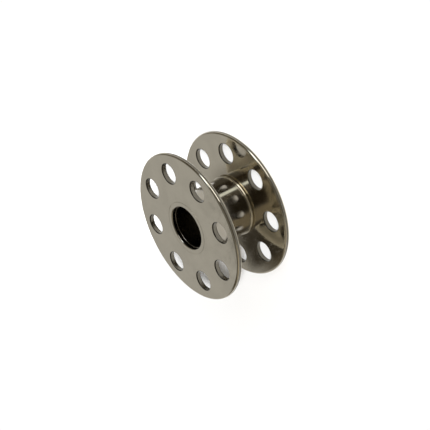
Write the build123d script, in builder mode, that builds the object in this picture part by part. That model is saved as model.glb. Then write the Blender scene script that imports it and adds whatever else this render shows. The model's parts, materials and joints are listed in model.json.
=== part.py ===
from build123d import *
from math import radians, tan
import os

# A metal sewing machine bobbin, three pieces pressed together. Two punched flanges sit on the ends of a
# turned tube. A bead on the tube carries each flange from inside. The tube's end is turned down to
# a neck, which is spread into the flange's countersunk middle hole and locks it there for good.
# Lengths are millimetres. Z is the bobbin's axis, and Z = 0 is the outer face it stands on.

# Overall
overall_width = 8.8  # outer face to outer face

# Flanges
flange_diameter = 21.0
flange_thickness = 0.7
rim_break = 0.14  # both edges of the rim, so that thread doesn't catch
hole_count = 8
hole_diameter = 2.8
hole_to_rim = 1.4  # metal left between a hole and the rim
hole_break = 0.1  # both edges of each hole
upper_flange_turn = 15.0  # degrees: the two hole patterns aren't lined up when the tube is pressed

# Hub tube
bore_diameter = 6.0
tube_wall = 1.1
shoulder = 0.6  # turned off the tube's outside for the neck that goes through a flange

# Bead that carries each flange
bead_height = 0.25  # out from the tube
bead_width = 0.4  # along the tube
bead_nose = 0.2  # how much of the height its rounded edge takes

# Spread tube end
swage_depth = 0.35  # how deep the countersink reaches below the outer face
swage_angle = 70.0  # degrees, the countersink's whole cone
swage_break = 0.05  # broken edge either side of the ring where tube and flange meet
mouth_break = 0.13  # lip of the bore
punch_depth = 0.55  # how far in the punch opened the bore
punch_step = 0.05  # how much wider it left the bore there
punch_taper = 3.0  # degrees on each side, so that the punch draws out again

under_half = 0.49  # broken edges on both sides of a wall stop short of meeting in its middle

bore_radius = bore_diameter / 2
tube_radius = bore_radius + tube_wall
bead_radius = tube_radius + bead_height
neck_radius = tube_radius - shoulder
swage_radius = neck_radius + swage_depth * tan(radians(swage_angle / 2))
punch_radius = bore_radius + punch_step
mouth_radius = punch_radius + punch_depth * tan(radians(punch_taper))
flange_radius = flange_diameter / 2
hole_circle_radius = flange_radius - hole_to_rim - hole_diameter / 2
inner_face = overall_width - flange_thickness  # height of the upper flange's inner face
middle = overall_width / 2

os.makedirs("parts", exist_ok=True)


def make_hub_tube():
    """The turned tube: plain in the middle, a bead and a spread neck towards each flange."""
    nose = min(bead_nose, bead_height)
    nose_middle = (bead_radius - nose, inner_face - bead_width / 2)
    with BuildPart() as tube:
        # Half of the wall's section: up the outside, over the end and down the bore.
        with BuildSketch(Plane.XZ):
            with BuildLine():
                Polyline(
                    (tube_radius, middle),
                    (tube_radius, inner_face - bead_width),
                    (bead_radius - nose, inner_face - bead_width),
                )
                EllipticalCenterArc(nose_middle, nose, bead_width / 2, start_angle=-90, arc_size=180)
                Polyline(
                    (bead_radius - nose, inner_face),
                    (neck_radius, inner_face),
                    (neck_radius, overall_width - swage_depth),
                    (swage_radius, overall_width),
                    (mouth_radius, overall_width),
                    (punch_radius, overall_width - punch_depth),
                    (bore_radius, overall_width - punch_depth - punch_step),
                    (bore_radius, middle),
                    (tube_radius, middle),
                )
            make_face()
        revolve(axis=Axis.Z)
        mouth, ring = tube.faces().sort_by(Axis.Z)[-1].edges().sort_by(SortBy.RADIUS)
        chamfer(mouth, mouth_break)
        chamfer(ring, swage_break)
        mirror(about=Plane.XY.offset(middle))
    return tube


def make_flange(outer_face, turn):
    """A punched disc that lies under its outer face, with its ring of holes turned by an angle."""
    widest_break = flange_thickness * under_half
    height = outer_face.origin.Z
    with BuildPart(outer_face) as flange:
        Cylinder(flange_radius, flange_thickness, align=(Align.CENTER, Align.CENTER, Align.MAX))
        chamfer(flange.edges().filter_by(GeomType.CIRCLE), min(rim_break, widest_break))
        CounterSinkHole(neck_radius, swage_radius, counter_sink_angle=swage_angle)
        outer_edges = flange.edges().filter_by_position(Axis.Z, height, height)
        chamfer(outer_edges.sort_by(SortBy.RADIUS)[0], swage_break)
        with PolarLocations(hole_circle_radius, hole_count, start_angle=turn):
            Hole(hole_diameter / 2)
        hole_edges = flange.edges(Select.LAST).filter_by(GeomType.CIRCLE)
        chamfer(hole_edges, min(hole_break, widest_break))
    return flange


hub_tube = make_hub_tube()
hub_tube.part.label = "hub_tube"
export_step(hub_tube.part, "parts/hub_tube.step")

upper_flange = make_flange(Plane.XY.offset(overall_width), upper_flange_turn)
upper_flange.part.label = "upper_flange"
export_step(upper_flange.part, "parts/upper_flange.step")

lower_flange = make_flange(Plane((0, 0, 0), x_dir=(1, 0, 0), z_dir=(0, 0, -1)), 0)
lower_flange.part.label = "lower_flange"
export_step(lower_flange.part, "parts/lower_flange.step")

print("holes lie on a circle of", round(2 * hole_circle_radius, 3), "mm, turned", upper_flange_turn)
print("swaged ring ends at", round(2 * swage_radius, 3), "mm, bore", bore_diameter, "mm")
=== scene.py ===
# %% [markdown]
# # A metal sewing machine bobbin
# An all-metal bobbin is three pieces: two flanges punched from sheet, and a turned tube whose ends
# are spread into them. The CAD model gives their exact forms and places, and this lesson dresses
# it. The same three pieces are built again, with the small rounded edges that catch light on
# polished metal. Then they are plated with nickel, and a room is made for the metal to mirror.
# The frame, which is loaded first, holds the CAD model in metres.

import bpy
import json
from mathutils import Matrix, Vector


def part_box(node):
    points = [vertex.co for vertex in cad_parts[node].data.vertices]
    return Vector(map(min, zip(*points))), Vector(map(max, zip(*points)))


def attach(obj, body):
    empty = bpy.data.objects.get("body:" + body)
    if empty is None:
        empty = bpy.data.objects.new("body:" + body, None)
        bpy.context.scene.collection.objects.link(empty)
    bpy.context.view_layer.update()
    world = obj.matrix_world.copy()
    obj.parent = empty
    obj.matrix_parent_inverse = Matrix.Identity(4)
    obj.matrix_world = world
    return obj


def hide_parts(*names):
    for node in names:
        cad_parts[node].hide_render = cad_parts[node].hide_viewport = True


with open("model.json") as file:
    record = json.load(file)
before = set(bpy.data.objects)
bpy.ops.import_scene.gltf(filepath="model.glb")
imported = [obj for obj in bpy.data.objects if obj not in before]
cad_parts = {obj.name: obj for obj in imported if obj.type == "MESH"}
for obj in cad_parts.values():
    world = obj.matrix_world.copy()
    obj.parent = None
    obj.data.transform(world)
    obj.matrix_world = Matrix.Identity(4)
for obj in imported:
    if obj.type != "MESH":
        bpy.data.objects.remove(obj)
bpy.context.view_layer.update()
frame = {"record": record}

# %% [markdown]
# ## Sizes
# The sizes could be typed in again, but then the pieces would drift off the CAD model when it
# changes. So what can be read is read from the frame. The boxes of the nodes give the outlines, and
# the record's mounts give the bore and the rings of holes. Lengths are in millimetres here, and
# each mesh is scaled to metres when it is made.

# %% Sizes from the frame
import json
import math
import bpy
from mathutils import Matrix, Vector
from mathutils.geometry import delaunay_2d_cdt

MM = 0.001
TAU = 2 * math.pi
mounts = {mount["name"]: mount["dims"] for mount in frame["record"]["mounts"]}
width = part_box("upper_flange")[1].z / MM
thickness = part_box("lower_flange")[1].z / MM
flange_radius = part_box("upper_flange")[1].x / MM
bead_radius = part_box("hub_tube")[1].x / MM
bore_radius = mounts["bore"]["r_mm"]
plain_bore = mounts["bore"]["length_mm"]
hole_circle = mounts["upper_holes"]["pcd_mm"] / 2
hole_count = mounts["upper_holes"]["count"]
hole_radius = mounts["upper_holes"]["hole_r_mm"]
print(f"flanges {2 * flange_radius:.1f} mm across, {width:.1f} mm over both faces")
print(f"{hole_count} holes of {2 * hole_radius:.1f} mm in each, bore {2 * bore_radius:.1f} mm")

# %% [markdown]
# ## A surface with its own normals
# A mirror shows every error of a mesh's normals. Blender's smooth shading averages the normals of
# the faces that meet at a point, so a flat face beside a rounded edge would look bent near it. Here
# each wall is drawn as a section whose normals are known from geometry, and each corner of each
# face is given its exact normal. So the flats stay flat and the rounds flow into them. A section is
# a list of runs, and a run is a list of points (radius, height, normal out, normal up).

# %% Sections
def polar(radius, angle):
    """The point of a circle at an angle in radians."""
    return radius * math.cos(angle), radius * math.sin(angle)


def straight(start, end, out, up):
    """A straight run with the same normal at both ends."""
    return [(*start, out, up), (*end, out, up)]


def bend(middle, size, start, end, steps, hollow=False):
    """An arc of an ellipse between two angles in degrees. A hollow one has its normals inwards."""
    side = -1 if hollow else 1
    run = []
    for i in range(steps + 1):
        a = math.radians(start + (end - start) * i / steps)
        out = Vector((math.cos(a) / size[0], math.sin(a) / size[1])).normalized() * side
        run.append((middle[0] + size[0] * math.cos(a), middle[1] + size[1] * math.sin(a), *out))
    return run


def flipped(section, height):
    """The section mirrored about a height, and run backwards, so that it carries on from it."""
    return [
        [(radius, 2 * height - z, out, -up) for radius, z, out, up in reversed(run)]
        for run in reversed(section)
    ]


quarter = bend((0, 0), (1, 1), 0, 90, steps=8)
print("a quarter round in 8 steps has", len(quarter), "points, and its middle one is", quarter[4])

# %% [markdown]
# ## One closed skin for each piece
# A piece is gathered as a skin: its points, its faces and a normal for each face corner. The skin
# also keeps how much of a second finish each point shows, from 0 to 1, for the material to read.
# The same share mixes in painted shade: dark on the flanges' cut edges, and on the tube it marks
# the beads and end rings, which are left out of the tube's painted darker colour.

# %% The skin and its circles
class Skin:
    """A closed piece in the making."""

    def __init__(self):
        self.points, self.faces, self.normals, self.second_finish = [], [], [], {}


def add_circle(skin, centre, radius, height, steps):
    """A circle of points. It gives back their numbers in the skin."""
    first = len(skin.points)
    for i in range(steps):
        x, y = polar(radius, TAU * i / steps)
        skin.points.append((centre[0] + x, centre[1] + y, height))
    return list(range(first, first + steps))


# %% [markdown]
# A section becomes a wall by turning it round a centre. Its first and last circles of points belong
# to the flat faces that it joins, so that the skin stays closed, with no seam that could show.

# %% Walls
def add_wall_face(skin, corners, angles):
    """A face from corners (point's number, section's point, step), wound to suit its normals."""
    normals = [Vector((*polar(p[2], angles[i]), p[3])) for _, p, i in corners]
    a, b, c, d = (Vector(skin.points[number]) for number, _, _ in corners)
    if (c - a).cross(d - b).dot(sum(normals, Vector())) < 0:
        corners, normals = corners[::-1], normals[::-1]
    skin.faces.append([number for number, _, _ in corners])
    skin.normals.extend(normals)


def add_wall(skin, centre, section, steps, first, last, finish=None):
    """Turns a section round a centre, from one circle of points to another."""
    angles = [TAU * i / steps for i in range(steps)]
    spans = [span for run in section for span in zip(run, run[1:])]
    below = first
    for number, (start, end) in enumerate(spans):
        is_last = number == len(spans) - 1
        above = last if is_last else add_circle(skin, centre, end[0], end[1], steps)
        if finish:
            skin.second_finish.update(dict.fromkeys(below, finish(start)))
            skin.second_finish.update(dict.fromkeys(above, finish(end)))
        for i in range(steps):
            j = (i + 1) % steps
            low = [(below[i], start, i), (below[j], start, j)]
            high = [(above[j], end, j), (above[i], end, i)]
            add_wall_face(skin, low + high, angles)
        below = above


# %% [markdown]
# A flange's face is flat but full of holes. Delaunay triangles fill the room between the loops, and
# guide points inside keep the triangles even, because long slivers spoil a mirror.

# %% Flat faces
same_place = 1e-6  # points of a face that are closer than this count as one


def add_flat(skin, loops, is_metal, up, guides):
    """Fills the flat room between loops of points, where is_metal says that there is sheet."""
    numbers = [number for loop in loops for number in loop] + guides
    place = {number: n for n, number in enumerate(numbers)}
    edges = [(place[a], place[b]) for loop in loops for a, b in zip(loop, loop[1:] + loop[:1])]
    flat_points = [Vector(skin.points[number][:2]) for number in numbers]
    filled = delaunay_2d_cdt(flat_points, edges, [], 0, same_place)
    triangles, given_points = filled[2], filled[3]
    for triangle in triangles:
        own = [numbers[given_points[k][0]] for k in triangle]
        a, b, c = (Vector(skin.points[number]) for number in own)
        if is_metal((a.xy + b.xy + c.xy) / 3):
            if (b - a).cross(c - a).z * up < 0:
                own.reverse()
            skin.faces.append(own)
            skin.normals.extend([Vector((0, 0, up))] * 3)


# %% [markdown]
# The finished skin becomes a mesh in metres. Its normals are kept as custom split normals, which
# Blender uses instead of its own, and the share of the second finish, with its painted shade, is
# kept as an attribute on the points.

# %% A piece from its skin
def add_object(name, data):
    """An object with its data, linked into the scene."""
    made = bpy.data.objects.new(name, data)
    bpy.context.scene.collection.objects.link(made)
    return made


def make_piece(name, skin):
    """The skin as a Blender object."""
    mesh = bpy.data.meshes.new(name)
    mesh.from_pydata([Vector(point) * MM for point in skin.points], [], skin.faces)
    mesh.shade_smooth()
    shares = [skin.second_finish.get(number, 0.0) for number in range(len(skin.points))]
    mesh.attributes.new("second_finish", "FLOAT", "POINT").data.foreach_set("value", shares)
    mesh.normals_split_custom_set([tuple(normal) for normal in skin.normals])
    triangles = sum(len(face) - 2 for face in skin.faces)
    print(f"{name}: {len(skin.points)} points, {triangles} triangles")
    return add_object(name, mesh)


# %% [markdown]
# ## The joint between tube and flange
# Each end of the tube is turned down to a neck, which goes through the flange. Its end is then
# spread into the countersunk middle hole, and locks the flange against the bead for good. On the
# finished bobbin only a fine line round the bore tells of it. So both pieces have the same cone,
# and each has a tiny broken edge where the cone meets the flat face, which draws that line.

# %% The countersink that both pieces share
neck_radius = 3.5
spread_radius = 3.745
countersink_depth = 0.35
ring_break = 0.03
ring_bulge = 0.008  # how far the middle of the tube's broken edge stands out
side_share = 0.35  # a broken edge's middle lies nearer to the flat face than to the cone
cone_slope = math.atan2(spread_radius - neck_radius, countersink_depth)


def on_cone(along, face, up):
    """The point of the cone at a distance along it from the outer face."""
    return (
        spread_radius - along * math.sin(cone_slope),
        face - up * along * math.cos(cone_slope),
    )


def broken_edge(on_face, on_side, side_normal, up, bulge=0.0):
    """The small round from a flat face to the cone beside it."""
    soft = (Vector(side_normal) + Vector((0, up))).normalized()
    between = Vector(on_side) * side_share + Vector(on_face) * (1 - side_share) + soft * bulge
    return [(*on_face, 0, up), (*between, *soft), (*on_side, *side_normal)]


print(f"the countersink's whole cone is {2 * math.degrees(cone_slope):.0f} degrees")

# %% [markdown]
# ## The flanges
# A flange is a disc punched from sheet. The punch rounds the edges of its rim and holes a little,
# and plating rounds them more. Only those rounds mirror the bright lamps, as the thin lines that
# tell the eye how thick the sheet is. A cylinder with Boolean holes and a Bevel modifier would be
# quicker, but it leaves long thin faces, and its flats would look wavy in a mirror. So the rim and
# every hole get a wall with the same kind of section.

# %% The section of a cut edge
rim_round = 0.3
hole_round = 0.14
round_steps = 8


def edge_section(outer, inner, radius, size, side):
    """Over the outer face's round, down the wall and over the inner face's round."""
    up = 1 if outer > inner else -1
    middle = (outer + inner) / 2
    round_middle = (radius - side * size, outer - up * size)
    on_wall = 0 if side > 0 else 180 * up
    half = [
        bend(round_middle, (size, size), 90 * up, on_wall, steps=round_steps),
        straight((radius, outer - up * size), (radius, middle), side, 0),
    ]
    return half + flipped(half, middle)


trial = edge_section(thickness, 0.0, flange_radius, rim_round, 1)
print("the rim's section has", sum(len(run) - 1 for run in trial), "spans")

# %% [markdown]
# The walls that the punch sheared are rough and stay dull. They are also painted dark: painted
# shade that dims what they mirror. In the small holes the polishing wheel misses the rounds too,
# and they get the darkest painted shade, so a painted dark line goes round each hole. How far a
# point's normal leans up or down tells where it lies: not at all on a wall, more and more on a
# round, and fully on a face.

# %% Finish of the cut edges, with painted shade
# how rough each cut edge is, and how much painted dark shade covers it
rim_wall_dull_painted_dark, hole_wall_dull_painted_dark, hole_round_dull_painted_dark = 0.87, 0.8, 1.0
rim_wall_lean = 0.2  # takes in the first step of the round
hole_wall_lean = 0.1
round_lean = 0.95  # a normal that leans more belongs to the flat face


def rim_dullness_and_painted_shade(point):
    """Dull and painted dark, as painted shade, on the rim's sheared wall; polished on its rounds.
    """
    return rim_wall_dull_painted_dark if abs(point[3]) < rim_wall_lean else 0.0


def hole_dullness_and_painted_shade(point):
    """Dull on a hole's wall and dullest on its rounds, with painted dark shade on both."""
    lean = abs(point[3])
    if lean < hole_wall_lean:
        return hole_wall_dull_painted_dark
    return hole_round_dull_painted_dark if lean < round_lean else 0.0


# the share of roughness and painted shade down a hole's round
down_a_round = [hole_dullness_and_painted_shade(point) for point in bend((0, 0), (1, 1), 90, 0, steps=round_steps)]
print("second finish down a hole's round:", down_a_round)

# %% [markdown]
# Each flat face has one loop of points round the rim, one round each hole and one round the middle.
# The walls start and end on those loops.

# %% A flange's flat face
rim_steps, hole_steps, middle_steps = 288, 64, 144
guide_circles = (4.5, 5.3, 6.1, 6.9, 7.7, 8.5, 9.3)
guide_gap = 0.8
guide_clearance = 0.3
hole_edge = hole_radius + hole_round


def add_guides(skin, height, nearest_hole):
    """Points on circles, clear of the holes."""
    guides = []
    for radius in guide_circles:
        count = round(TAU * radius / guide_gap)
        for i in range(count):
            p = Vector(polar(radius, TAU * i / count))
            if nearest_hole(p) > hole_edge + guide_clearance:
                guides.append(len(skin.points))
                skin.points.append((p.x, p.y, height))
    return guides


def add_flange_face(skin, holes, height, up, opening):
    """A face with its holes. It gives back its loops round the rim, the holes and the middle."""
    rim_edge = flange_radius - rim_round
    rim = add_circle(skin, (0, 0), rim_edge, height, rim_steps)
    edges = [add_circle(skin, hole, hole_edge, height, hole_steps) for hole in holes]
    middle = add_circle(skin, (0, 0), opening, height, middle_steps)

    def nearest_hole(p):
        return min((p - Vector(hole)).length for hole in holes)

    def is_metal(p):
        return nearest_hole(p) > hole_edge and opening < p.length < rim_edge

    guides = add_guides(skin, height, nearest_hole)
    add_flat(skin, [rim, *edges, middle], is_metal, up, guides)
    return rim, edges, middle


# %% [markdown]
# The two flanges are the same, but one is turned over. Nobody lines up their rings of holes when
# the tube is pressed, and the photograph shows them 15 degrees apart. Each skin is gathered from
# its two flat faces, the rim's wall, the walls of the holes, and the seat for the tube's end.

# %% Build the flanges
upper_turn = 15


def make_flange(name, outer, inner, turn):
    """A flange between the heights of its outer and inner faces, its holes turned by degrees."""
    up = 1 if outer > inner else -1
    skin = Skin()
    angles = [math.radians(turn) + TAU * k / hole_count for k in range(hole_count)]
    holes = [polar(hole_circle, angle) for angle in angles]
    opening = spread_radius + ring_break
    rim, edges, middle = add_flange_face(skin, holes, outer, up, opening)
    rim_in, edges_in, middle_in = add_flange_face(skin, holes, inner, -up, neck_radius)

    rim_section = edge_section(outer, inner, flange_radius, rim_round, 1)
    add_wall(skin, (0, 0), rim_section, rim_steps, rim, rim_in, rim_dullness_and_painted_shade)
    hole_section = edge_section(outer, inner, hole_radius, hole_round, -1)
    for hole, top, bottom in zip(holes, edges, edges_in):
        add_wall(skin, hole, hole_section, hole_steps, top, bottom, hole_dullness_and_painted_shade)

    lean = (-math.cos(cone_slope), up * math.sin(cone_slope))
    lip = on_cone(ring_break / math.cos(cone_slope), outer, up)
    cone_end = (neck_radius, outer - up * countersink_depth)
    seat = [
        broken_edge((opening, outer), lip, lean, up),
        straight(lip, cone_end, *lean),
        straight(cone_end, (neck_radius, inner), -1, 0),
    ]
    add_wall(skin, (0, 0), seat, middle_steps, middle, middle_in)
    return make_piece(name, skin)


upper = make_flange("upper_flange_plated", width, width - thickness, upper_turn)
lower = make_flange("lower_flange_plated", 0.0, thickness, 0)

# %% [markdown]
# ## The tube
# The hub is a turned tube. A bead on it stands behind each flange like a collar, and a neck beyond
# the bead goes through the flange. A tapered punch opened the mouth of the bore, which leaves a
# small step half a millimetre inside. A Screw modifier could turn a drawn line into the same form,
# but it would make its own smooth normals. So it is a wall again, whose section closes on itself.
# The section is drawn once, for the upper end, from the middle of the outside over the end to the
# middle of the bore, and mirrored for the other end.

# %% Sizes of the tube
tube_radius = 4.1
bead_width = 0.4
bead_nose = 0.2  # how much of the bead's height its rounded edge takes
foot_round = 0.04  # in the corner where the bead stands on the tube
lip_round = 0.14  # at the mouth of the bore
punch_depth = 0.55
punch_taper = 3  # degrees
punch_lean = 0.05  # how far the taper's normal leans towards the mouth
punch_step = (width - plain_bore) / 2 - punch_depth
punch_radius = bore_radius + punch_step
mouth_radius = punch_radius + punch_depth * math.tan(math.radians(punch_taper))
print(f"the punch opened the mouth from {bore_radius:.2f} to {mouth_radius:.2f} mm in radius")

# %% The outside of the tube
def outside_of_tube():
    """From the middle of the tube up to the bead, over it, and along the neck to the cone."""
    inner_face = width - thickness
    bead_foot = inner_face - bead_width
    foot = (tube_radius + foot_round, bead_foot)
    nose_start = bead_radius - bead_nose
    nose_middle = (nose_start, inner_face - bead_width / 2)
    foot_middle = (foot[0], bead_foot - foot_round)
    neck_foot, neck_end = (neck_radius, inner_face), (neck_radius, width - countersink_depth)
    return [
        straight((tube_radius, width / 2), (tube_radius, bead_foot - foot_round), 1, 0),
        bend(foot_middle, (foot_round, foot_round), 180, 90, steps=5, hollow=True),
        straight(foot, (nose_start, bead_foot), 0, -1),
        bend(nose_middle, (bead_nose, bead_width / 2), -90, 90, steps=20),
        straight((nose_start, inner_face), neck_foot, 0, 1),
        straight(neck_foot, neck_end, 1, 0),
    ]


print("the outside's section has", len(outside_of_tube()), "runs")

# %% The end of the tube and its bore
def mouth_of_tube():
    """From the neck up the cone, over the end ring, and down the punched mouth into the bore."""
    lean = (math.cos(cone_slope), -math.sin(cone_slope))
    lip = on_cone(ring_break, width, 1)
    ring_edge = (spread_radius - ring_break, width)
    lip_middle = (mouth_radius + lip_round, width - lip_round)
    half_step = (punch_step / 2, punch_step / 2)
    punch_end = width - punch_depth
    step_end = punch_end - punch_step
    return [
        straight((neck_radius, width - countersink_depth), lip, *lean),
        broken_edge(ring_edge, lip, lean, 1, ring_bulge)[::-1],
        straight(ring_edge, (mouth_radius + lip_round, width), 0, 1),
        bend(lip_middle, (lip_round, lip_round), 90, 180, steps=9),
        straight((mouth_radius, width - lip_round), (punch_radius, punch_end), -1, punch_lean),
        bend((punch_radius - half_step[0], punch_end), half_step, 0, -90, steps=4, hollow=True),
        bend((bore_radius + half_step[0], step_end), half_step, 90, 180, steps=4),
        straight((bore_radius, step_end), (bore_radius, width / 2), -1, 0),
    ]


print("the end's section has", len(mouth_of_tube()), "runs")

# %% [markdown]
# The wheel that polished the flanges also touched what stands proud on the tube: its beads, and the
# rings on both ends. They get the flanges' finish and nickel colour as their second one. The rest
# of the tube is painted darker, as painted shade between the flanges.

# %% Build the tube
tube_steps = 256
end_face_depth = 0.06


def tube_polish_and_painted_shade_at(point):
    """Polished on the beads, which stand out from the tube, and on the rings of both ends, which
    are left out of the painted shade that darkens the rest of the tube.
    """
    is_end = abs(point[1] - width / 2) > width / 2 - end_face_depth
    is_bead = point[0] > tube_radius + foot_round
    return 1.0 if is_end or is_bead else 0.0


def make_tube(name):
    """The whole tube, from its mirrored section."""
    half = outside_of_tube() + mouth_of_tube()
    skin = Skin()
    belt = add_circle(skin, (0, 0), tube_radius, width / 2, tube_steps)
    section = half + flipped(half, width / 2)
    add_wall(skin, (0, 0), section, tube_steps, belt, belt, tube_polish_and_painted_shade_at)
    return make_piece(name, skin)


tube = make_tube("hub_tube_plated")

# %% [markdown]
# ## Into the frame
# Nothing on a bobbin moves, so every piece rides on the one body. Each stands for its CAD node,
# which is hidden.

# %% Put the pieces in the frame
for piece, node, finish in (
    (upper, "upper_flange", "flange"),
    (lower, "lower_flange", "flange"),
    (tube, "hub_tube", "tube"),
):
    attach(piece, "root")
    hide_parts(node)
    low, high = (Vector(corner) for corner in (piece.bound_box[0], piece.bound_box[6]))
    past = max(max(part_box(node)[0] - low), max(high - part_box(node)[1]))
    print(f"{piece.name} passes its CAD box by {max(past, 0) / MM:.4f} mm")

# %% [markdown]
# ## Helpers for node trees
# A material is a tree of nodes. It could be drawn by hand in the Shader Editor, but a script can be
# read and made again. These short functions make a node, set it and link it in one go, so that a
# tree reads like a sum.

# %% Helpers for node trees
def node(tree, kind, inputs=(), **settings):
    """A node with its settings. An input is a value, or another node's output to link."""
    made = tree.nodes.new("ShaderNode" + kind)
    for name, value in settings.items():
        setattr(made, name, value)
    for key, value in dict(inputs).items():
        if isinstance(value, bpy.types.NodeSocket):
            tree.links.new(value, made.inputs[key])
        else:
            made.inputs[key].default_value = value
    return made


def calc(tree, operation, a, b=0.0, clamp=False):
    """The result of a sum of two values."""
    return node(tree, "Math", {0: a, 1: b}, operation=operation, use_clamp=clamp).outputs[0]


def ramp(tree, value, low, high, to_low=0.0, to_high=1.0):
    """A value carried smoothly from one range to another."""
    ranges = {0: value, 1: low, 2: high, 3: to_low, 4: to_high}
    return node(tree, "MapRange", ranges, interpolation_type="SMOOTHSTEP").outputs[0]


def scaled(tree, place, scale):
    """A place made larger or smaller."""
    return node(tree, "VectorMath", {0: place, "Scale": scale}, operation="SCALE").outputs[0]


# %% [markdown]
# A node group is like a function: it is built once, has named inputs and outputs, and can be used
# in many trees. What several materials share goes into groups.

# %% A helper for node groups
def new_group(name, inputs, outputs):
    """An empty group with its sockets. An input's value is a number, or None for a vector."""
    group = bpy.data.node_groups.new(name, "ShaderNodeTree")
    for label, value in inputs.items():
        kind = "NodeSocketVector" if value is None else "NodeSocketFloat"
        socket = group.interface.new_socket(label, in_out="INPUT", socket_type=kind)
        if value is not None:
            socket.default_value = value
    for label in outputs:
        group.interface.new_socket(label, in_out="OUTPUT", socket_type="NodeSocketFloat")
    given = group.nodes.new("NodeGroupInput").outputs
    return group, given, group.nodes.new("NodeGroupOutput").inputs


# %% [markdown]
# ## Fine scratches
# Every bobbin that has been handled has hair-thin scratches, some places more than others. A
# picture of scratches would blur when the camera comes near, so they are worked out instead. A
# noise is stretched along the scratches, and a thin line is drawn wherever it crosses its middle
# value. A second, broader noise keeps the lines to some patches.

# %% Group for fine scratches
widths_to_a_wave = 12.0  # the noise across the scratches, in widths of one
change_with_height = 0.3
line_reach = 0.012  # how far from its middle value the noise still draws the line
patch_scale, patch_border = 0.9, (0.46, 0.62)


def scratches_group():
    """Thin lines, for a place in millimetres."""
    inputs = {"Place": None, "Turn": 0.0, "Length": 1.5, "Width": 0.02, "Seed": 0.0}
    group, given, result = new_group("fine scratches", inputs, ("Lines",))
    turning = {"Vector": given["Place"], "Angle": given["Turn"]}
    turned = node(group, "VectorRotate", turning, rotation_type="Z_AXIS").outputs[0]
    parts = node(group, "SeparateXYZ", {0: turned}).outputs
    along = calc(group, "DIVIDE", parts[0], given["Length"])
    wave = calc(group, "MULTIPLY", given["Width"], widths_to_a_wave)
    across = calc(group, "DIVIDE", parts[1], wave)
    upwards = calc(group, "MULTIPLY", parts[2], change_with_height)
    seed = calc(group, "ADD", upwards, given["Seed"])
    stretched = node(group, "CombineXYZ", {0: along, 1: across, 2: seed}).outputs[0]
    settings = {"Vector": stretched, "Scale": 1.0, "Detail": 1.0, "Distortion": 0.15}
    noise = node(group, "TexNoise", settings).outputs[0]
    off_middle = calc(group, "ABSOLUTE", calc(group, "SUBTRACT", noise, 0.5))
    thin = ramp(group, off_middle, 0.0, line_reach, 1.0, 0.0)
    patch_settings = {"Vector": scaled(group, turned, patch_scale), "Scale": 1.0, "Detail": 2.0}
    patches = node(group, "TexNoise", patch_settings).outputs[0]
    here = ramp(group, patches, *patch_border)
    group.links.new(calc(group, "MULTIPLY", thin, here), result["Lines"])
    return group


fine_scratches = scratches_group()
print("made the group", fine_scratches.name)

# %% [markdown]
# ## Uneven plating
# Plating is never quite even. One flat colour would look like plastic, so this group gives a broad
# cloud, for slow changes of tone and polish, and a fine grain for the second finish.

# %% Group for plating
def plating_group():
    """A cloud of a size in millimetres, and a grain much finer than it."""
    inputs = {"Place": None, "Size": 3.0}
    group, given, result = new_group("uneven plating", inputs, ("Cloud", "Grain"))
    place = scaled(group, given["Place"], calc(group, "DIVIDE", 1.0, given["Size"]))
    for label, scale, detail, roughness in (("Cloud", 1.0, 3.0, 0.55), ("Grain", 28.0, 4.0, 0.6)):
        settings = {"Vector": place, "Scale": scale, "Detail": detail, "Roughness": roughness}
        group.links.new(node(group, "TexNoise", settings).outputs[0], result[label])
    return group


uneven_plating = plating_group()
print("made the group", uneven_plating.name)

# %% [markdown]
# ## Polished nickel
# Nickel plate is a bright metal with a warm cast. Metallic 1 makes the base colour the colour of
# its reflections, so grey surroundings turn into warm grey. The wear on it is three sets of
# scratches, slightly darker clouds, and on the tube faint lines round it, left by the lathe.

# %% Wear on nickel
scratch_sets = ((0.4, 1.0, 1.6), (1.9, 5.0, 2.4), (2.7, 9.0, 1.2))  # turn, seed, length
cloud_range = (0.3, 0.7)
darker = 0.93  # the tone where the plating is thin
lathe_lines_in_a_mm = 14.0
bump_distance = 0.01 * MM


def mix(tree, share, first, second):
    """Two colours mixed. Each is three numbers, or another node's output."""
    colours = [c if isinstance(c, bpy.types.NodeSocket) else (*c, 1) for c in (first, second)]
    return node(tree, "MixRGB", {0: share, 1: colours[0], 2: colours[1]}).outputs[0]


def scratches_on(tree, place):
    """Three sets of scratches that cross each other, as one value."""
    lines = 0.0
    for turn, seed, length in scratch_sets:
        scratch = node(tree, "Group", node_tree=fine_scratches)
        tree.links.new(place, scratch.inputs["Place"])
        for name, value in (("Turn", turn), ("Seed", seed), ("Length", length)):
            scratch.inputs[name].default_value = value
        lines = calc(tree, "MAXIMUM", lines, scratch.outputs[0])
    return lines


def uneven(tree, cloud, colour):
    """A colour that is a little darker here and there."""
    return mix(tree, ramp(tree, cloud, *cloud_range), colour, [c * darker for c in colour])


def lathe_lines(tree, place, depth, normal):
    """A normal with fine rings, all round the tube."""
    height = node(tree, "SeparateXYZ", {0: place}).outputs[2]
    lines_up = calc(tree, "MULTIPLY", height, lathe_lines_in_a_mm)
    settings = {"W": lines_up, "Scale": 1.0, "Detail": 3.0}
    rings = node(tree, "TexNoise", settings, noise_dimensions="1D").outputs[0]
    lathe = {"Strength": depth, "Distance": bump_distance, "Height": rings, "Normal": normal}
    return node(tree, "Bump", lathe).outputs[0]


# %% [markdown]
# One function makes both materials, because they differ only in values. It could instead be two
# materials on each piece, but then they would meet at a hard line. The attribute on the mesh mixes
# them softly: the dull cut edges on a flange, with their painted dark shade, and the polished beads
# and end rings on the tube, which are left out of the tube's painted shade.

# %% The nickel itself
polish_range = (0.85, 1.2)  # shares of the roughness, in the clouds
scratch_roughness = 0.12
scratch_depth, scratch_strength = -0.4, 0.05


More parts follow.
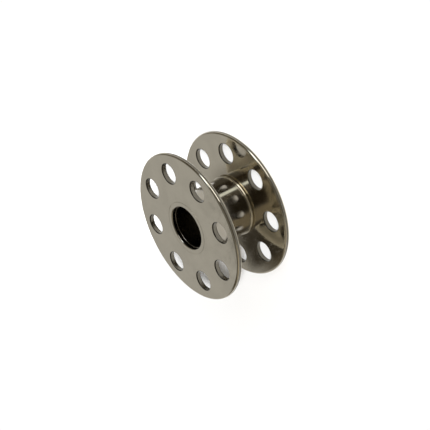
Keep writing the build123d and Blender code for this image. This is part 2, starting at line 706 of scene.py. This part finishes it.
def nickel(name, colour, roughness, second_colour, rougher, turning=0.0):
    """Plated steel. The colour and the second finish's colour may carry painted shade, and the
    second finish is rougher by a value. Turning is how deep the lathe's lines are."""
    material = bpy.data.materials.new(name)
    material.use_nodes = True
    tree = material.node_tree
    tree.nodes.clear()
    metal = node(tree, "BsdfPrincipled", {"Metallic": 1.0})
    tree.links.new(metal.outputs[0], node(tree, "OutputMaterial").inputs[0])
    place = scaled(tree, node(tree, "TexCoord").outputs["Object"], 1 / MM)
    plating = node(tree, "Group", node_tree=uneven_plating)
    tree.links.new(place, plating.inputs["Place"])
    cloud, grain = plating.outputs
    scratched = scratches_on(tree, place)
    # this share also mixes in the painted shade of the cut edges and of the tube
    second = node(tree, "Attribute", attribute_name="second_finish").outputs["Fac"]

    tones = uneven(tree, cloud, colour), uneven(tree, grain, second_colour)
    tree.links.new(mix(tree, second, *tones), metal.inputs["Base Color"])
    polish = ramp(tree, cloud, *cloud_range, *(roughness * share for share in polish_range))
    worn = calc(tree, "ADD", polish, calc(tree, "MULTIPLY", scratched, scratch_roughness))
    added = calc(tree, "MULTIPLY", second, rougher)
    tree.links.new(calc(tree, "ADD", added, worn, clamp=True), metal.inputs["Roughness"])

    depth = calc(tree, "MULTIPLY", scratched, scratch_depth)
    groove = {"Strength": scratch_strength, "Distance": bump_distance, "Height": depth}
    normal = node(tree, "Bump", groove).outputs[0]
    if turning:
        normal = lathe_lines(tree, place, turning, normal)
    tree.links.new(normal, metal.inputs["Normal"])
    print(f"made {name}, with {len(tree.nodes)} nodes")
    return material


# %% [markdown]
# The flanges were polished on a wheel and mirror sharply. The tube is a little softer, because the
# wheel can't reach it between the flanges. It is also painted darker, as painted shade between the
# flanges. The flanges' cut edges are painted dark too, as painted shade.

# %% Plate the pieces
nickel_colour = (0.575, 0.527, 0.42)
# painted shade: the near-black colour of the flanges' cut walls and hole rounds
painted_dark_edge_colour = (0.07, 0.064, 0.052)
# painted shade: the tube is darker than the nickel, for the shade between the flanges
painted_shade_tube_colour = (0.36, 0.33, 0.275)
sheet_finish = nickel("nickel_sheet", nickel_colour, 0.055, painted_dark_edge_colour, 0.25)
tube_finish = nickel("nickel_tube", painted_shade_tube_colour, 0.13, nickel_colour, -0.06, turning=0.15)
for piece, finish in ((upper, sheet_finish), (lower, sheet_finish), (tube, tube_finish)):
    piece.data.materials.append(finish)

# %% [markdown]
# ## The floor
# The floor is a wide sheet of pale paper under the bobbin, and takes its shadow. A plane would do
# too, but a disc has no corners for the metal to mirror. It lies a hair below the bobbin's lower
# face, because two faces in one plane would flicker.

# %% Floor
floor_radius = 3  # metres
floor_drop = 0.02 * MM
floor_steps = 96
floor_mesh = bpy.data.meshes.new("floor")
floor_angles = [TAU * i / floor_steps for i in range(floor_steps)]
floor_rim = [(*polar(floor_radius, angle), -floor_drop) for angle in floor_angles]
floor_mesh.from_pydata(floor_rim, [], [list(range(floor_steps))])
floor = add_object("floor", floor_mesh)
paper = bpy.data.materials.new("floor_paper")
paper.use_nodes = True
paper_shader = paper.node_tree.nodes["Principled BSDF"]
paper_shader.inputs["Base Color"].default_value = (0.95, 0.95, 0.95, 1)
paper_shader.inputs["Roughness"].default_value = 0.9
paper_shader.inputs["Specular IOR Level"].default_value = 0.0
floor.data.materials.append(paper)
print(f"the floor is {2 * floor_radius} m across")

# %% [markdown]
# ## The studio
# Polished metal has no look of its own: it shows the room. So the room is what is designed here. It
# could be area lamps and boards set up as meshes, but panels painted on the world's dome are placed
# by two angles, stand in nothing's way, and light the bobbin softly. The group below says how much
# of a panel is seen in a direction, from its middle, half its width and height, and how soft its
# border is, all in degrees.

# %% Group for a studio panel
panel_inputs = ("Azimuth", "Elevation", "Half Width", "Half Height", "Softness")
default_angle = 10.0
border = 1.0  # in softnesses, half of it inside the panel and half outside


def panel_group():
    """1 inside a panel and 0 outside it, for a direction."""
    inputs = {"Direction": None, **dict.fromkeys(panel_inputs, default_angle)}
    group, given, result = new_group("studio panel", inputs, ("Mask",))
    parts = node(group, "SeparateXYZ", {0: given["Direction"]}).outputs
    azimuth = calc(group, "DEGREES", calc(group, "ARCTAN2", parts[1], parts[0]))
    elevation = calc(group, "DEGREES", calc(group, "ARCSINE", parts[2]))
    turn = calc(group, "SUBTRACT", azimuth, given["Azimuth"])
    beside = node(group, "Math", {0: turn, 1: 180.0, 2: -180.0}, operation="WRAP").outputs[0]
    above = calc(group, "SUBTRACT", elevation, given["Elevation"])
    shares = []
    for off_middle, half in ((beside, given["Half Width"]), (above, given["Half Height"])):
        beyond = calc(group, "SUBTRACT", calc(group, "ABSOLUTE", off_middle), half)
        softly = calc(group, "DIVIDE", beyond, given["Softness"])
        shares.append(ramp(group, softly, -border / 2, border / 2, 1.0, 0.0))
    group.links.new(calc(group, "MULTIPLY", *shares), result["Mask"])
    return group


studio_panel = panel_group()
print("made the group", studio_panel.name)

# %% [markdown]
# Grey boards stand behind the bobbin, seen from the camera. Its flat faces mirror them, so they set
# the tone of the flanges. Two thin black flags above the boards are mirrored low on the far flange,
# as a dark patch. Dark panels give the hub and the far flange their brown depths. A strip lamp and
# a low lamp draw the bright line along the hub and the lines on the rims. Each panel lies over the
# ones before it.

# %% The panels
plain, warm, brown, cool = (1, 1, 1), (1.08, 0.98, 0.8), (1.2, 0.98, 0.66), (0.88, 1.0, 1.14)
panels = (
    # what it is, azimuth, elevation, half width, half height, softness, brightness, tint
    ("window", -98, 31, 30, 14, 10.0, 0.5, warm),
    ("dark corner", -22, 31, 36, 14, 10.0, 0.035, brown),
    ("dark side", 74, 33, 16, 12, 8.0, 0.06, brown),
    ("dark back", -171, 36, 28, 6, 6.0, 0.08, brown),
    ("low board", 188, 10, 15, 21.6, 1.6, 0.40, plain),
    ("grey board", 172, 10, 32, 20.8, 0.8, 0.545, plain),
    ("upper left board", 150, 25, 16.0, 30, 3.0, 0.545, plain),
    ("grey board's corner", 167, 25, 3.7, 6.4, 0.5, 0.545, plain),
    ("black flag", 171.9, 41, 1.5, 10.15, 0.5, 0.03, brown),
    ("black flag's upper part", 168.6, 41.7, 2.2, 9.9, 0.5, 0.03, brown),
    ("strip lamp", 41, 34, 6.0, 22, 3.0, 3.0, cool),
    ("low lamp", 21, 13, 21, 14, 3.0, 2.9, plain),
)
print(len(panels), "panels, the brightest is the", max(panels, key=lambda panel: panel[6])[0])

# %% [markdown]
# The dome is the scene's world. Its plain grey, a little darker towards the top, is mixed with one
# panel after another. The world gives each direction as a vector, in the output called Generated.

# %% The dome with its panels
dome_low, dome_high = (0.22, 0.207, 0.182), (0.18, 0.17, 0.152)
dome_heights = (-0.1, 0.9)  # sines of the elevations where the grey changes
world = bpy.data.worlds.new("studio")
bpy.context.scene.world = world
world.use_nodes = True
dome = world.node_tree
dome.nodes.clear()
direction = node(dome, "TexCoord").outputs["Generated"]
height_on_dome = node(dome, "SeparateXYZ", {0: direction}).outputs[2]
light = mix(dome, ramp(dome, height_on_dome, *dome_heights), dome_low, dome_high)
for label, *place, brightness, tint in panels:
    mask = node(dome, "Group", node_tree=studio_panel, label=label)
    dome.links.new(direction, mask.inputs["Direction"])
    for name, value in zip(panel_inputs, place):
        mask.inputs[name].default_value = value
    light = mix(dome, mask.outputs[0], light, [brightness * c for c in tint])
sky = node(dome, "Background", {0: light})
dome.links.new(sky.outputs[0], node(dome, "OutputWorld").inputs[0])
print("the dome has", len(dome.nodes), "nodes")

# %% [markdown]
# ## The key light
# One sun from the camera's side lights the floor to white and gives the bobbin its shadow, which
# falls behind it. An area lamp could do this, but a sun needs only a direction. It would be
# mirrored as a hard spot, so glossy rays don't see it, and the metal shows the panels alone.

# %% Key light
def direction_of(azimuth, elevation):
    """The direction in which a place lies, as seen from the bobbin, from its angles in degrees."""
    turn, rise = math.radians(azimuth), math.radians(elevation)
    return Vector((*polar(math.cos(rise), turn), math.sin(rise)))


def aim(lamp, back):
    """Turns a lamp so that its back looks along a direction."""
    lamp.rotation_mode = "QUATERNION"
    lamp.rotation_quaternion = back.to_track_quat("Z", "Y")


key_azimuth, key_elevation = -11.75, 33
key = add_object("key", bpy.data.lights.new("key", "SUN"))
key.data.energy = 4.5
key.data.angle = math.radians(8)
key.visible_glossy = False
aim(key, direction_of(key_azimuth, key_elevation))
bpy.context.scene.view_settings.view_transform = "Standard"
print("the sun's strength is", key.data.energy)

# %% [markdown]
# ## The camera
# The camera stands where the photographer's stood: a little above the flange that faces it. It is
# turned on its side, because the photograph shows the bobbin lying on its rims, and here it stands
# on a flange. It could be placed by eye, but the picture would never quite match. Its place and
# lens were worked out from the outlines of both flanges and the edges of the holes.

# %% Camera
camera_azimuth, camera_elevation, camera_roll = -11.751, 30.190, -116.927
camera_distance = 117.197 * MM
bobbin_middle = Vector((0, 0, width / 2 * MM))
back = direction_of(camera_azimuth, camera_elevation)
camera_place = bobbin_middle + back * camera_distance
roll = Matrix.Rotation(math.radians(camera_roll), 3, "Z")
turned = back.to_track_quat("Z", "Y").to_matrix() @ roll
camera = add_object("camera", bpy.data.cameras.new("camera"))
camera.matrix_world = Matrix.Translation(camera_place) @ turned.to_4x4()
camera.data.lens = 72.98
camera.data.sensor_width = 36
camera.data.shift_x = 0.0071117
camera.data.shift_y = 0.00067892
camera.data.clip_start, camera.data.clip_end = 0.005, 10
camera.data.dof.use_dof = False
bpy.context.scene.camera = camera
print("the camera stands at", tuple(round(v / MM, 1) for v in camera_place), "mm")

# %% [markdown]
# ## A lamp at the camera
# Through the upper holes of the near flange the camera sees paper that lies in the bobbin's shadow,
# but in the photograph it is white there. A second sun would draw a second shadow. A lamp at the
# camera's own place draws none that the camera sees, so a small spot there fills the holes. It is
# aimed at a point of the near flange's face, given by its radius and its angle round the axis.

# %% Lamp at the camera
lit_radius, lit_angle = 7.0, math.radians(105)
lit_place = Vector((*polar(lit_radius, lit_angle), width)) * MM
camera_lamp = add_object("camera_lamp", bpy.data.lights.new("camera_lamp", "SPOT"))
camera_lamp.data.energy = 1.2
camera_lamp.data.shadow_soft_size = 0.0015
camera_lamp.data.spot_size = math.radians(7.4)
camera_lamp.data.spot_blend = 0.2
camera_lamp.visible_glossy = False
camera_lamp.location = camera_place
aim(camera_lamp, camera_place - lit_place)
print("the camera lamp is aimed at", tuple(round(v / MM, 1) for v in lit_place), "mm")
